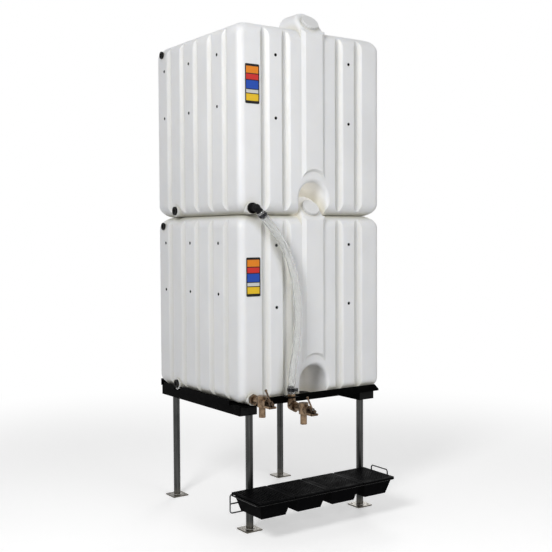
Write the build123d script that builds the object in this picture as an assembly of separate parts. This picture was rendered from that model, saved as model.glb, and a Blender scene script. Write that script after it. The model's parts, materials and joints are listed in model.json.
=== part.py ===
from build123d import *
import math
import os

# Two stacked gravity feed tanks on a pipe-legged stand, with faucets and drip trays.
# Frame: millimetres, +Z up, -Y the front; origin on the floor at the centre of the four legs.

# Stand: legs, base plates and rails
LEG_SPAN_X = 630.0
LEG_SPAN_Y = 665.0
LEG_DIAMETER = 33.4
LEG_WALL = 3.4
LEG_SLIP = 0.4
PLATE_SIZE = 82.0
PLATE_THICKNESS = 6.0
PLATE_HOLE = 11.0
PLATE_HOLE_OFFSET = 27.0
DECK_HEIGHT = 560.0
ANGLE_THICKNESS = 4.0
RAIL_HEIGHT = 43.0
RAIL_WIDTH = 89.0
RAIL_WALL = 4.0
RAIL_INSIDE_LEG = 25.0
RAIL_BEYOND_LEG = 26.0
END_PLUG_THICKNESS = 4.0
END_PLUG_SLIP = 0.2
FRONT_LIP_HEIGHT = 28.0
SIDE_LIP_HEIGHT = 18.0
LIP_GAP = 3.0
ANGLE_OVERLAP = 55.0
SIDE_ANGLE_OVERLAP = 40.0
FRONT_LIP_CHAMFER = 24.0
CORNER_CLEARANCE = 0.5
DECK_BAR_COUNT = 3
DECK_BAR_WIDTH = 110.0

# Tanks
TANK_WIDTH = 784.0
TANK_DEPTH = 752.0
TANK_HEIGHT = 824.0
TANK_CENTRE_Y = -13.0
TANK_WALL = 6.0
CORNER_RADIUS = 30.0
EDGE_RADIUS = 58.0
EDGE_STEPS = 6
GROOVE_WIDTH = 45.0
GROOVE_DEPTH = 15.0
GROOVE_FLOOR_RADIUS = 10.0
GROOVE_LIP_RADIUS = 12.0
GROOVE_EXIT = 12.0
SIDE_GROOVE_PITCH = 126.0
SIDE_GROOVE_COUNT = 5
SIDE_GROOVE_SHIFT = -7.0
FRONT_GROOVE_INNER = 147.5
FRONT_GROOVE_OUTER = 259.0
COLUMN_BASE_HALF = 65.0
COLUMN_FACE_HALF = 46.0
COLUMN_RAISE = 10.0
ARCH_HALF = 75.0
ARCH_HEIGHT = 148.0
ARCH_DEPTH = 190.0
ARCH_BACK_RADIUS = 40.0
ARCH_LIP_RADIUS = 18.0
BROW_RADIUS = 76.0
BROW_RISE = 48.0
NOSE_HALF = 66.0
NOSE_RISE = 87.0
NOSE_DEPTH = 172.0
NOSE_ROOT = 60.0
NOSE_CREASE_DROP = 18.0
NOSE_SLOPE = 50.0
NOSE_EDGE_RADIUS = 20.0
FILL_UP_SLOPE = 62.0
FILL_BORE = 58.0
NECK_DIAMETER = 70.0
NECK_HEIGHT = 9.0

# Fill caps
CAP_DIAMETER = 84.0
CAP_TOP = 4.0
CAP_EDGE_RADIUS = 2.5
CAP_FIT = 0.35
CAP_STANDOFF = 0.5
CAP_GRIP_COUNT = 24
CAP_GRIP_DIAMETER = 4.0
GASKET_THICKNESS = 2.0

# Fittings in the tank walls
INSERT_DIAMETER = 14.0
INSERT_LENGTH = 12.0
INSERT_THREAD = 6.6
INSERT_THREAD_DEPTH = 9.0
INSERT_FIT = 0.05
INSERT_PAD = 26.0
INSERT_PAD_DEPTH = 20.0
SIDE_INSERT_DROPS = (348.0, 123.0)
FRONT_INSERT_DROPS = (405.0, 133.0)
REAR_INSERT_INSET = 83.0
BOSS_DIAMETER = 54.0
BOSS_PROUD = 6.0
BOSS_DEPTH = 48.0
OUTLET_INSET = 58.0
OUTLET_HEIGHT = 28.0
OUTLET_BORE = 33.0
DRAIN_INSET = 193.0
DRAIN_HEIGHT = 29.0
DRAIN_BORE = 26.0
VENT_INSET = 64.0
VENT_DROP = 42.0
VENT_BORE = 22.0
VENT_PAD_DEPTH = 24.0
THREAD_FIT = 0.1
DRAIN_FLANGE = 40.0
VENT_FLANGE = 34.0
PLUG_FLANGE_THICKNESS = 7.0
PLUG_SOCKET = 16.0
PLUG_SOCKET_DEPTH = 5.0
PLUG_SHANK = 34.0
VENT_SHANK = 16.0

# Label cards
LABEL_WIDTH = 72.0
LABEL_HEIGHT = 168.0
LABEL_THICKNESS = 0.8
LABEL_INSET = 31.0
LABEL_TOP_DROP = 184.0

# Feed hose, its end fittings and clamps
HOSE_DIAMETER = 34.0
HOSE_BORE = 25.4
HOSE_STANDOFF = 42.0
HOSE_X = -157.0
HOSE_LEAD = 16.0
HOSE_RISE = 40.0
# Each bow: sideways from the hose's lower end, and its share of the height between the two ends
HOSE_BOWS = (
    (-83.0, 0.902),
    (-27.0, 0.803),
    (11.0, 0.688),
    (33.0, 0.560),
    (40.0, 0.408),
    (29.0, 0.251),
    (0.0, 0.090),
)
BEND_SHARE = 0.45
BARB_FIT = 0.1
BARB_LENGTH = 34.0
WATERWAY = 18.0
BULKHEAD_FLANGE = 46.0
BULKHEAD_FLANGE_THICKNESS = 10.0
BULKHEAD_SHANK = 42.0
ELBOW_DIAMETER = 33.0
ELBOW_COLLAR = 30.0
CLAMP_BAND_WIDTH = 13.0
CLAMP_BAND_THICKNESS = 1.2
CLAMP_GAP = 0.3
CLAMP_SETBACK = 12.0
CLAMP_HOUSING = 9.0
CLAMP_SCREW_DIAMETER = 6.0
CLAMP_SCREW_LENGTH = 22.0
CLAMP_WING = 16.0
CLAMP_WING_THICKNESS = 3.0

# Second faucet's pipework and bracket
NIPPLE_HEX = 32.0
NIPPLE_HEX_HEIGHT = 12.0
BRACKET_THICKNESS = 4.0
BRACKET_WIDTH = 56.0
BRACKET_REACH = 22.0
NIPPLE_SHANK = 24.0
LOWER_ELBOW_DIAMETER = 36.0
LOWER_ELBOW_DROP = 37.0
LOWER_ELBOW_REACH = 20.0

# Faucets, sizes measured forward (along -Y) from the inlet face and up from the axis
FAUCET_HEX = 42.0
FAUCET_HEX_LENGTH = 14.0
FAUCET_SHANK_LENGTH = 34.0
FAUCET_NECK = 29.0
FAUCET_BARREL = 42.0
FAUCET_BARREL_AT = 70.0
FAUCET_BARREL_TOP = 27.0
FAUCET_BARREL_FOOT = 21.0
FAUCET_SPOUT = 29.0
FAUCET_SPOUT_DROP = 66.0
FAUCET_SPOUT_BORE = 21.0
FAUCET_FACE_AT = 100.0
FAUCET_FACE_DIAMETER = 34.0
FAUCET_SEAT_AT = 52.0
FAUCET_CHAMBER = 24.0
BONNET_LENGTH = 12.0
BONNET_HEX = 34.0
BONNET_SPIGOT = 9.0
YOKE_THICKNESS = 5.0
YOKE_HEIGHT = 10.0
STEM_DIAMETER = 9.0
STEM_FIT = 0.15
STEM_DISC = 23.0
STEM_DISC_THICKNESS = 6.0
STEM_SEAT_GAP = 0.1
STEM_TRAVEL = 5.0
STEM_HEAD = 14.0
STEM_HEAD_LENGTH = 6.0
STEM_HEAD_GAP = 0.5
SPRING_DIAMETER = 19.0
SPRING_WIRE = 2.0
SPRING_TURNS = 6
LEVER_PIVOT_AT = 148.0
LEVER_PIVOT_DROP = 14.0
LEVER_LENGTH = 82.0
LEVER_LEAN = 36.5
LEVER_SWING = 25.0
LEVER_THICKNESS = 5.0
LEVER_WIDTH = 20.0
LEVER_FORK_END = 5.0
LEVER_ROD = 8.0
LEVER_GRIP = 12.0
LEVER_SIDE_GAP = 0.4
LEVER_SLOT_GAP = 0.6
PIN_DIAMETER = 5.0
PIN_FIT = 0.05
PIN_HEAD = 8.0
PIN_HEAD_THICKNESS = 2.0

# Drip rack, trays and grates
TRAY_COUNT = 4
TRAY_PITCH = 186.5
TRAY_WIDTH = 184.0
TRAY_DEPTH = 222.0
TRAY_HEIGHT = 76.0
TRAY_RIM = 9.0
TRAY_RIM_THICKNESS = 6.0
TRAY_WALL = 3.0
TRAY_DRAFT = 22.0
TRAY_TOP_Z = 190.0
TRAY_ROW_CENTRE_X = -55.0
GRATE_CLEARANCE = 1.0
GRATE_THICKNESS = 4.0
GRATE_SEAT_DEPTH = 3.0
GRATE_SEAT_LEDGE = 5.0
GRATE_HOLES_X = 11
GRATE_HOLES_Y = 14
GRATE_BAR = 4.0
GRATE_BORDER = 9.0
RACK_WIRE = 6.4
RACK_SEAT_GAP = 0.3
RACK_FENCE_DROP = 82.0
RACK_CORNER = 12.0
RACK_LOOP_RISE = 30.0
RACK_LOOP_LENGTH = 112.0
RACK_CLAMP_HEIGHT = 28.0
RACK_CLAMP_THICKNESS = 3.0
RACK_CLAMP_GAP = 0.3
RACK_SADDLE_WIDTH = 16.0
RACK_SADDLE_INSET = 11.0
RACK_SADDLE_HEIGHT = 9.0

# Places worked out from the sizes above
TANK_FRONT = TANK_CENTRE_Y - TANK_DEPTH / 2
TANK_REAR = TANK_CENTRE_Y + TANK_DEPTH / 2
TANK_SIDE = TANK_WIDTH / 2
OUTLET_X = OUTLET_INSET - TANK_SIDE
DRAIN_Y = TANK_REAR - DRAIN_INSET
VENT_Y = TANK_REAR - VENT_INSET
REAR_INSERT_Y = TANK_REAR - REAR_INSERT_INSET
HOSE_PLANE_Y = TANK_FRONT - HOSE_STANDOFF
RAIL_TOP = DECK_HEIGHT - ANGLE_THICKNESS
RAIL_BOTTOM = RAIL_TOP - RAIL_HEIGHT
RAIL_INNER_X = LEG_SPAN_X / 2 - RAIL_INSIDE_LEG
RAIL_OUTER_X = RAIL_INNER_X + RAIL_WIDTH
RAIL_END_Y = LEG_SPAN_Y / 2 + RAIL_BEYOND_LEG
TANK_FLOORS = {"lower": DECK_HEIGHT, "upper": DECK_HEIGHT + TANK_HEIGHT}
SIDES = {"left": -1, "right": 1}
SLOPE = math.radians(NOSE_SLOPE)
NOSE_NORMAL = Vector(0, -math.sin(SLOPE), math.cos(SLOPE))


def block(x_range, y_range, z_range):
    """Axis-aligned box between three pairs of limits."""
    size = [high - low for low, high in (x_range, y_range, z_range)]
    middle = [(high + low) / 2 for low, high in (x_range, y_range, z_range)]
    return Pos(*middle) * Box(*size)


def rod(start, end, diameter):
    """Round bar from one point to another."""
    line = Vector(*end) - Vector(*start)
    plane = Plane(origin=start, z_dir=line)
    return extrude(plane * Circle(diameter / 2), line.length)


def hex_bar(start, end, across_flats):
    """Hexagonal bar from one point to another."""
    line = Vector(*end) - Vector(*start)
    plane = Plane(origin=start, z_dir=line)
    return extrude(plane * RegularPolygon(across_flats / 2, 6, major_radius=False), line.length)


def wire_rod(points, radii, diameter):
    """Round wire along straight runs joined by tangent arcs."""
    route = FilletPolyline(*points, radius=radii)
    section = Plane(origin=route @ 0, z_dir=route % 0) * Circle(diameter / 2)
    return sweep(section, path=route)


# Stand
def leg_centre(side_x, side_y):
    return side_x * LEG_SPAN_X / 2, side_y * LEG_SPAN_Y / 2


def leg(side_x, side_y):
    x, y = leg_centre(side_x, side_y)
    top = RAIL_TOP - RAIL_WALL
    pipe = rod((x, y, PLATE_THICKNESS), (x, y, top), LEG_DIAMETER)
    return pipe - rod((x, y, PLATE_THICKNESS), (x, y, top), LEG_DIAMETER - 2 * LEG_WALL)


def base_plate(side_x, side_y):
    x, y = leg_centre(side_x, side_y)
    half = PLATE_SIZE / 2
    plate = block((x - half, x + half), (y - half, y + half), (0, PLATE_THICKNESS))
    for sign in (-1, 1):
        hole_x = x + sign * side_x * PLATE_HOLE_OFFSET
        hole_y = y + sign * side_y * PLATE_HOLE_OFFSET
        plate -= rod((hole_x, hole_y, 0), (hole_x, hole_y, PLATE_THICKNESS), PLATE_HOLE)
    return plate


def side_rail(side):
    x_range = sorted((side * RAIL_INNER_X, side * RAIL_OUTER_X))
    hollow_x = (x_range[0] + RAIL_WALL, x_range[1] - RAIL_WALL)
    ends = (-RAIL_END_Y, RAIL_END_Y)
    rail = block(x_range, ends, (RAIL_BOTTOM, RAIL_TOP))
    rail -= block(hollow_x, ends, (RAIL_BOTTOM + RAIL_WALL, RAIL_TOP - RAIL_WALL))
    for side_y in (-1, 1):
        x, y = leg_centre(side, side_y)
        rail -= rod((x, y, RAIL_BOTTOM), (x, y, RAIL_BOTTOM + RAIL_WALL), LEG_DIAMETER + LEG_SLIP)
    return rail


def rail_end_plugs():
    plugs = []
    for side in SIDES.values():
        x_range = sorted((side * RAIL_INNER_X, side * RAIL_OUTER_X))
        inset = RAIL_WALL + END_PLUG_SLIP
        plug_x = (x_range[0] + inset, x_range[1] - inset)
        plug_z = (RAIL_BOTTOM + inset, RAIL_TOP - inset)
        for end in (-1, 1):
            plug_y = sorted((end * (RAIL_END_Y - END_PLUG_THICKNESS), end * RAIL_END_Y))
            plugs.append(block(plug_x, plug_y, plug_z))
    return plugs


def lip_line_y(end):
    """Inner face of the front (-1) or rear (1) lip."""
    return TANK_FRONT - LIP_GAP if end < 0 else TANK_REAR + LIP_GAP


def angle_inner_y(end):
    """Inner edge of the flat leg of the front or rear angle, over the rails."""
    return end * (RAIL_END_Y - ANGLE_OVERLAP)


def front_rail():
    inner = lip_line_y(-1)
    outer = inner - ANGLE_THICKNESS
    lip_top = DECK_HEIGHT + FRONT_LIP_HEIGHT
    lip_left = OUTLET_X + BOSS_DIAMETER / 2 + FAUCET_HEX
    flat = block((-RAIL_OUTER_X, RAIL_OUTER_X), (outer, angle_inner_y(-1)), (RAIL_TOP, DECK_HEIGHT))
    lip = block((lip_left, RAIL_OUTER_X), (outer, inner), (DECK_HEIGHT, lip_top))
    top_corner = lip.edges().filter_by(Axis.Y).sort_by(lambda e: e.center().X + e.center().Z)[-1]
    return flat + chamfer(top_corner, FRONT_LIP_CHAMFER)


def rear_rail():
    inner = lip_line_y(1)
    outer = inner + ANGLE_THICKNESS
    lip_top = DECK_HEIGHT + FRONT_LIP_HEIGHT
    across = (-RAIL_OUTER_X, RAIL_OUTER_X)
    flat = block(across, (angle_inner_y(1), outer), (RAIL_TOP, DECK_HEIGHT))
    return flat + block(across, (inner, outer), (DECK_HEIGHT, lip_top))


def side_angle_inner_x():
    """Inner edge of the flat leg of a side angle, over the rail."""
    return min(RAIL_OUTER_X, TANK_SIDE + LIP_GAP + ANGLE_THICKNESS) - SIDE_ANGLE_OVERLAP


def side_lip(side):
    inner = TANK_SIDE + LIP_GAP
    outer = inner + ANGLE_THICKNESS
    ends = (angle_inner_y(-1) + CORNER_CLEARANCE, angle_inner_y(1) - CORNER_CLEARANCE)
    flat_x = sorted((side * side_angle_inner_x(), side * outer))
    lip_x = sorted((side * inner, side * outer))
    lip = block(flat_x, ends, (RAIL_TOP, DECK_HEIGHT))
    lip += block(lip_x, ends, (DECK_HEIGHT, DECK_HEIGHT + SIDE_LIP_HEIGHT))
    if side < 0:
        half = BOSS_DIAMETER / 2 + LIP_GAP
        notch_top = DECK_HEIGHT + SIDE_LIP_HEIGHT
        lip -= block(lip_x, (DRAIN_Y - half, DRAIN_Y + half), (DECK_HEIGHT, notch_top))
    return lip


def deck_bars():
    """Flat bars across the rails, the outer two close to the front and rear angles."""
    reach = side_angle_inner_x() - CORNER_CLEARANCE
    first = angle_inner_y(-1) + CORNER_CLEARANCE + DECK_BAR_WIDTH / 2
    pitch = -2 * first / (DECK_BAR_COUNT - 1)
    bars = []
    for index in range(DECK_BAR_COUNT):
        y = first + index * pitch
        bar_y = (y - DECK_BAR_WIDTH / 2, y + DECK_BAR_WIDTH / 2)
        bars.append(block((-reach, reach), bar_y, (RAIL_TOP, DECK_HEIGHT)))
    return bars


# Tanks
def arch_face(half, height, foot, y):
    """Arch outline in the plane of the given y: straight sides with a round head."""
    spring_line = height - half
    outline = Polyline((-half, spring_line), (-half, foot), (half, foot), (half, spring_line))
    outline += ThreePointArc((half, spring_line), (0, height), (-half, spring_line))
    front = Plane(origin=(0, y, 0), x_dir=(1, 0, 0), z_dir=(0, -1, 0))
    return front * make_face(outline)


def groove_face():
    """Section of one groove: X across it, Y out of the tank, zero on the tank's face."""
    exit_slope = math.radians(GROOVE_EXIT)
    lip_turn = math.radians(45 - GROOVE_EXIT)
    lip_y = -GROOVE_LIP_RADIUS * math.tan(lip_turn / 2) * math.sin(exit_slope)
    lip_x = GROOVE_WIDTH / 2 + lip_y
    floor_x = GROOVE_WIDTH / 2 - GROOVE_DEPTH
    end_x = lip_x + (GROOVE_DEPTH - lip_y) / math.tan(exit_slope)
    right = [(floor_x, -GROOVE_DEPTH), (lip_x, lip_y), (end_x, GROOVE_DEPTH)]
    left = [(-x, y) for x, y in reversed(right)]
    radii = [GROOVE_LIP_RADIUS, GROOVE_FLOOR_RADIUS, GROOVE_FLOOR_RADIUS, GROOVE_LIP_RADIUS]
    return make_face([FilletPolyline(*left, *right, radius=radii), Line(right[-1], left[0])])


def side_groove_places():
    middle = TANK_CENTRE_Y + SIDE_GROOVE_SHIFT
    first = -(SIDE_GROOVE_COUNT - 1) / 2
    return [middle + (first + index) * SIDE_GROOVE_PITCH for index in range(SIDE_GROOVE_COUNT)]


def grooves(inset):
    """All grooves of one tank as upright bars to cut away."""
    section = groove_face()
    if inset > 0:
        section = offset(section, inset, kind=Kind.INTERSECTION)
    places = []
    for side in SIDES.values():
        for y in side_groove_places():
            places.append((side * TANK_SIDE, y, -90 * side))
    for x in (FRONT_GROOVE_INNER, FRONT_GROOVE_OUTER):
        for sign in (-1, 1):
            places.append((sign * x, TANK_FRONT, 180))
            places.append((sign * x, TANK_REAR, 0))
    height = TANK_HEIGHT + 2 * EDGE_RADIUS
    bars = []
    for x, y, turn in places:
        bars.append(extrude(Pos(x, y, -EDGE_RADIUS) * Rot(0, 0, turn) * section, height))
    return bars


def below_slope(inset):
    """Everything under the sloping front of the fill nose."""
    reach = TANK_HEIGHT
    crease = Vector(0, TANK_FRONT - COLUMN_RAISE, TANK_HEIGHT - NOSE_CREASE_DROP)
    plane = Plane(origin=crease - NOSE_NORMAL * inset, x_dir=(1, 0, 0), z_dir=NOSE_NORMAL)
    return extrude(plane * Rectangle(reach, 2 * reach), -reach)


def nose(inset):
    foot = TANK_HEIGHT - NOSE_ROOT
    face = arch_face(NOSE_HALF - inset, TANK_HEIGHT + NOSE_RISE - inset, foot, TANK_FRONT + inset)
    body = extrude(face, -(NOSE_DEPTH - 2 * inset)) & below_slope(inset)
    slope = body.faces().sort_by(lambda face: face.normal_at().dot(NOSE_NORMAL))[-1]
    rim = [edge for edge in slope.edges() if edge.center().Z > TANK_HEIGHT]
    return fillet(rim, NOSE_EDGE_RADIUS - inset)


def column():
    """Raised flat column up the middle of the front, cut by the brow over the arch."""
    section = make_face(Polyline(
        (-COLUMN_BASE_HALF, TANK_FRONT + TANK_WALL / 2), (-COLUMN_BASE_HALF, TANK_FRONT),
        (-COLUMN_FACE_HALF, TANK_FRONT - COLUMN_RAISE), (COLUMN_FACE_HALF, TANK_FRONT - COLUMN_RAISE),
        (COLUMN_BASE_HALF, TANK_FRONT), (COLUMN_BASE_HALF, TANK_FRONT + TANK_WALL / 2), close=True))
    bar = extrude(Pos(0, 0, ARCH_HEIGHT - ARCH_HALF) * section, TANK_HEIGHT)
    brow_top = ARCH_HEIGHT + BROW_RISE + COLUMN_RAISE
    brow = arch_face(BROW_RADIUS + COLUMN_RAISE, brow_top, 0, TANK_FRONT - COLUMN_RAISE)
    bar -= extrude(brow, -COLUMN_RAISE, taper=45)
    roof = TANK_HEIGHT - EDGE_RADIUS
    over_edge = bar & block((-TANK_SIDE, TANK_SIDE), (TANK_FRONT - TANK_WIDTH, TANK_REAR), (roof, 2 * roof))
    below_edge = bar & block((-TANK_SIDE, TANK_SIDE), (TANK_FRONT - TANK_WIDTH, TANK_REAR), (0, roof))
    return below_edge + (over_edge & below_slope(0))


def arch_lip(inset):
    """Bead to cut off round the arch's mouth, which leaves a rounded edge there."""
    radius = ARCH_LIP_RADIUS - inset
    half = ARCH_HALF + inset
    mouth = TANK_FRONT + inset
    foot, spring_line, head = -EDGE_RADIUS, ARCH_HEIGHT - ARCH_HALF, ARCH_HEIGHT + inset
    route = Wire([
        Line((-half, mouth, foot), (-half, mouth, spring_line)),
        ThreePointArc((-half, mouth, spring_line), (0, mouth, head), (half, mouth, spring_line)),
        Line((half, mouth, spring_line), (half, mouth, foot)),
    ])
    bulge = radius * (1 - math.sqrt(0.5))
    clear = radius / 2
    flat = Polyline((0, radius), (clear, radius), (clear, -clear), (-radius, -clear), (-radius, 0))
    section = make_face([flat, ThreePointArc((-radius, 0), (-bulge, bulge), (0, radius))])
    return sweep(Pos(-half, mouth, foot) * section, path=route)


def arch_recess(inset):
    face = arch_face(ARCH_HALF + inset, ARCH_HEIGHT + inset, -EDGE_RADIUS, TANK_FRONT - EDGE_RADIUS)
    recess = extrude(face, -(ARCH_DEPTH + EDGE_RADIUS + inset))
    back = recess.faces().sort_by(Axis.Y)[-1]
    rim = [edge for edge in back.edges() if edge.center().Z > 0]
    return fillet(rim, ARCH_BACK_RADIUS) + arch_lip(inset)


def tank_block(inset):
    """Plain tank block, with wider rounding on its level edges than on its upright corners."""
    radius = EDGE_RADIUS - inset
    sections = []
    for step in range(EDGE_STEPS + 1):
        turn = math.pi / 2 * step / EDGE_STEPS
        tuck = inset + radius * (1 - math.cos(turn))
        z = TANK_HEIGHT - EDGE_RADIUS + radius * math.sin(turn)
        outline = RectangleRounded(TANK_WIDTH - 2 * tuck, TANK_DEPTH - 2 * tuck, CORNER_RADIUS - inset)
        sections.append(Pos(0, TANK_CENTRE_Y, z) * outline)
    crown = loft(sections)
    middle = extrude(sections[0], 2 * EDGE_RADIUS - TANK_HEIGHT)
    return crown + middle + mirror(crown, about=Plane.XY.offset(TANK_HEIGHT / 2))


def tank_form(inset):
    """Ribbed tank body, shrunk by the given inset."""
    form = tank_block(inset) - grooves(inset)
    form += nose(inset)
    if inset == 0:
        form = (form + column()).fix()
    return form - arch_recess(inset)


def fill_point():
    """Middle of the fill opening on the sloping front of the nose, in tank height."""
    y = TANK_FRONT - COLUMN_RAISE + FILL_UP_SLOPE * math.cos(SLOPE)
    z = TANK_HEIGHT - NOSE_CREASE_DROP + FILL_UP_SLOPE * math.sin(SLOPE)
    return Vector(0, y, z)


def insert_places():
    """Mouth and inward direction of every threaded insert of one tank."""
    grooves_y = side_groove_places()
    side_y = (
        (grooves_y[0] + grooves_y[1]) / 2,
        (grooves_y[2] + grooves_y[3]) / 2,
        REAR_INSERT_Y,
    )
    places = {"left": [], "right": [], "front": []}
    for drop in SIDE_INSERT_DROPS:
        z = TANK_HEIGHT - drop
        for y in side_y:
            places["left"].append((Vector(-TANK_SIDE, y, z), Vector(1, 0, 0)))
            places["right"].append((Vector(TANK_SIDE, y, z), Vector(-1, 0, 0)))
    rib = (FRONT_GROOVE_INNER + FRONT_GROOVE_OUTER) / 2
    for drop in FRONT_INSERT_DROPS:
        z = TANK_HEIGHT - drop
        for x in (-rib, rib):
            places["front"].append((Vector(x, TANK_FRONT, z), Vector(0, 1, 0)))
    return places


def tank_shell():
    """One tank standing on z = 0, hollow, with its bosses and openings."""
    outlet_face = TANK_FRONT - BOSS_PROUD
    drain_face = -TANK_SIDE - BOSS_PROUD
    vent_z = TANK_HEIGHT - VENT_DROP
    bosses = [
        rod((OUTLET_X, outlet_face, OUTLET_HEIGHT), (OUTLET_X, outlet_face + BOSS_DEPTH, OUTLET_HEIGHT),
            BOSS_DIAMETER),
        rod((drain_face, DRAIN_Y, DRAIN_HEIGHT), (drain_face + BOSS_DEPTH, DRAIN_Y, DRAIN_HEIGHT),
            BOSS_DIAMETER),
        rod((-TANK_SIDE, VENT_Y, vent_z), (-TANK_SIDE + VENT_PAD_DEPTH, VENT_Y, vent_z), VENT_FLANGE),
    ]
    inserts = [place for group in insert_places().values() for place in group]
    for mouth, inward in inserts:
        start = mouth + inward * (TANK_WALL / 2)
        bosses.append(rod(start, mouth + inward * INSERT_PAD_DEPTH, INSERT_PAD))
    mouth = fill_point()
    bosses.append(rod(mouth - NOSE_NORMAL * TANK_WALL, mouth + NOSE_NORMAL * NECK_HEIGHT, NECK_DIAMETER))
    holes = [
        rod((OUTLET_X, outlet_face, OUTLET_HEIGHT), (OUTLET_X, outlet_face + BOSS_DEPTH, OUTLET_HEIGHT),
            OUTLET_BORE),
        rod((drain_face, DRAIN_Y, DRAIN_HEIGHT), (drain_face + BOSS_DEPTH, DRAIN_Y, DRAIN_HEIGHT),
            DRAIN_BORE),
        rod((-TANK_SIDE, VENT_Y, vent_z), (-TANK_SIDE + VENT_PAD_DEPTH, VENT_Y, vent_z), VENT_BORE),
        rod(mouth - NOSE_NORMAL * (2 * TANK_WALL), mouth + NOSE_NORMAL * NECK_HEIGHT, FILL_BORE),
    ]
    for mouth, inward in inserts:
        holes.append(rod(mouth, mouth + inward * INSERT_LENGTH, INSERT_DIAMETER + 2 * INSERT_FIT))
    void = tank_form(TANK_WALL) - bosses + holes
    return tank_form(0) + bosses - void


# Fittings of one tank, standing on z = 0
def fill_cap():
    mouth = fill_point()
    rim = mouth + NOSE_NORMAL * (NECK_HEIGHT + GASKET_THICKNESS)
    top = rim + NOSE_NORMAL * CAP_TOP
    skirt = mouth + NOSE_NORMAL * CAP_STANDOFF
    cap = rod(skirt, top, CAP_DIAMETER)
    crown = cap.faces().sort_by(lambda face: face.center().dot(NOSE_NORMAL))[-1]
    cap = fillet(crown.edges(), CAP_EDGE_RADIUS)
    cap -= rod(skirt, rim, NECK_DIAMETER + 2 * CAP_FIT)
    across = Plane(origin=skirt, x_dir=(1, 0, 0), z_dir=NOSE_NORMAL)
    height = (top - skirt).length
    flutes = []
    for place in PolarLocations(CAP_DIAMETER / 2, CAP_GRIP_COUNT):
        flutes.append(extrude(across * place * Circle(CAP_GRIP_DIAMETER / 2), height))
    return cap - flutes


def cap_gasket():
    rim = fill_point() + NOSE_NORMAL * NECK_HEIGHT
    top = rim + NOSE_NORMAL * GASKET_THICKNESS
    return rod(rim, top, NECK_DIAMETER) - rod(rim, top, FILL_BORE)


def insert(mouth, inward):
    body = rod(mouth, mouth + inward * INSERT_LENGTH, INSERT_DIAMETER)
    return body - rod(mouth, mouth + inward * INSERT_THREAD_DEPTH, INSERT_THREAD)


def wall_plug(face_x, y, z, flange, bore, shank):
    """Flanged screw plug in the left side, with a square driving socket."""
    outer = face_x - PLUG_FLANGE_THICKNESS
    plug = rod((outer, y, z), (face_x, y, z), flange)
    plug += rod((face_x, y, z), (face_x + shank, y, z), bore - 2 * THREAD_FIT)
    half = PLUG_SOCKET / 2
    socket = block((outer, outer + PLUG_SOCKET_DEPTH), (y - half, y + half), (z - half, z + half))
    return plug - socket


def drain_plug():
    face = -TANK_SIDE - BOSS_PROUD
    return wall_plug(face, DRAIN_Y, DRAIN_HEIGHT, DRAIN_FLANGE, DRAIN_BORE, PLUG_SHANK)


def vent_plug():
    return wall_plug(-TANK_SIDE, VENT_Y, TANK_HEIGHT - VENT_DROP, VENT_FLANGE, VENT_BORE, VENT_SHANK)


def label_card():
    top = TANK_HEIGHT - LABEL_TOP_DROP
    across = (LABEL_INSET - TANK_SIDE, LABEL_INSET - TANK_SIDE + LABEL_WIDTH)
    return block(across, (TANK_FRONT - LABEL_THICKNESS, TANK_FRONT), (top - LABEL_HEIGHT, top))


# Feed line from the upper tank to the second faucet
def upper_outlet_z():
    return TANK_FLOORS["upper"] + OUTLET_HEIGHT


def hose_points():
    """Route from beside the upper outlet down to the bracket, in one plane ahead of the tanks."""
    head = upper_outlet_z() - HOSE_LEAD
    foot = DECK_HEIGHT + HOSE_RISE
    route = [(OUTLET_X + HOSE_LEAD, head)]
    route += [(HOSE_X + aside, foot + share * (head - foot)) for aside, share in HOSE_BOWS]
    route.append((HOSE_X, foot))
    return [(x, HOSE_PLANE_Y, z) for x, z in route]


def hose_radii():
    """Bend radius at each inner point of the hose route."""
    points = [Vector(*point) for point in hose_points()]
    radii = []
    for before, corner, after in zip(points, points[1:], points[2:]):
        run_in = corner - before
        run_out = after - corner
        half_turn = math.radians(run_in.get_angle(run_out)) / 2
        radii.append(BEND_SHARE * min(run_in.length, run_out.length) / math.tan(half_turn))
    return radii


def feed_hose():
    route = FilletPolyline(*hose_points(), radius=hose_radii())
    plane = Plane(origin=route @ 0, z_dir=route % 0)
    ring = plane * (Circle(HOSE_DIAMETER / 2) - Circle(HOSE_BORE / 2))
    hose = sweep(ring, path=route)
    area = math.pi / 4 * (HOSE_DIAMETER ** 2 - HOSE_BORE ** 2)
    share = hose.volume / (area * route.length)
    print("hose bend radii", [round(radius) for radius in hose_radii()])
    print("hose length", round(route.length, 1), "volume share", round(share, 4))
    return hose


def hose_heading(first, second):
    start = Vector(*hose_points()[first])
    return (Vector(*hose_points()[second]) - start).normalized()


def outlet_bulkhead():
    """Black flanged adapter screwed into the upper tank's outlet."""
    z = upper_outlet_z()
    face = TANK_FRONT - BOSS_PROUD
    front = (OUTLET_X, face - BULKHEAD_FLANGE_THICKNESS, z)
    back = (OUTLET_X, face + BULKHEAD_SHANK, z)
    fitting = rod(front, (OUTLET_X, face, z), BULKHEAD_FLANGE)
    fitting += rod((OUTLET_X, face, z), back, OUTLET_BORE - 2 * THREAD_FIT)
    return fitting - rod(front, back, WATERWAY)


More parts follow.
